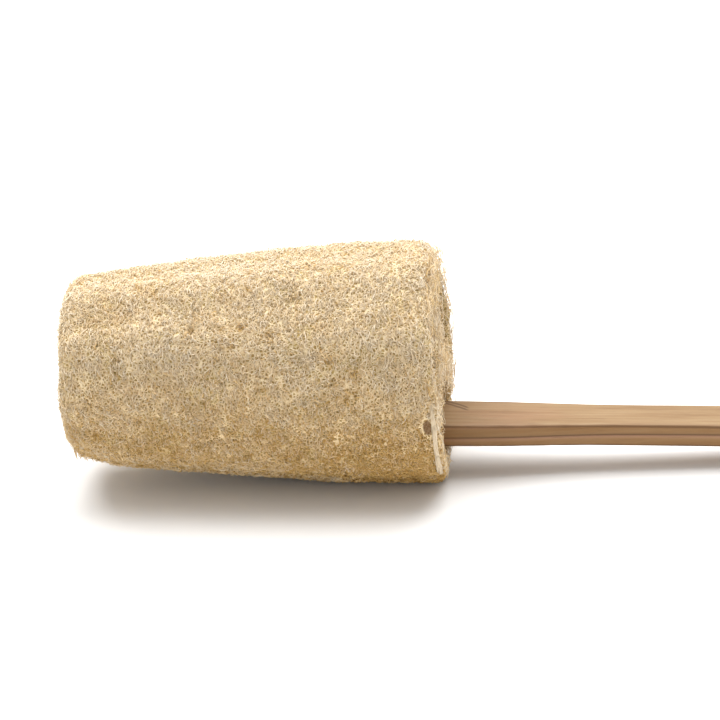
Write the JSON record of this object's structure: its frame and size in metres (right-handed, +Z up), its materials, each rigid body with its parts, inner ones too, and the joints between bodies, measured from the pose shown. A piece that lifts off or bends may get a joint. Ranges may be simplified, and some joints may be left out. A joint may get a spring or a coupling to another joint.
{
  "type": "loofah back scrubber",
  "caption": "Natural loofah segment fixed on a flat, waisted wooden stick with a hanging hole, for scrubbing the back in the bath or shower.",
  "frame": {"origin": "on the surface that the scrubber lies on, under the middle of its bounding box", "axes": "+X towards the handle's tip, +Z up, -Y the side with the small worn hole beside the sponge's mouth. The stick leans 2.7 degrees, tip down, as the scrubber rests on the sponge's rim and on the handle's tip."},
  "size_m": [0.4508, 0.0948, 0.092],
  "materials": {
    "loofah_fibre": "matte",
    "stick_wood": "satin",
    "peg_wood": "matte"
  },
  "bodies": {
    "root": {"loofah_sponge": "loofah_fibre", "handle_stick": "stick_wood", "peg_front": "peg_wood", "peg_rear": "peg_wood"}
  },
  "joints": []
}
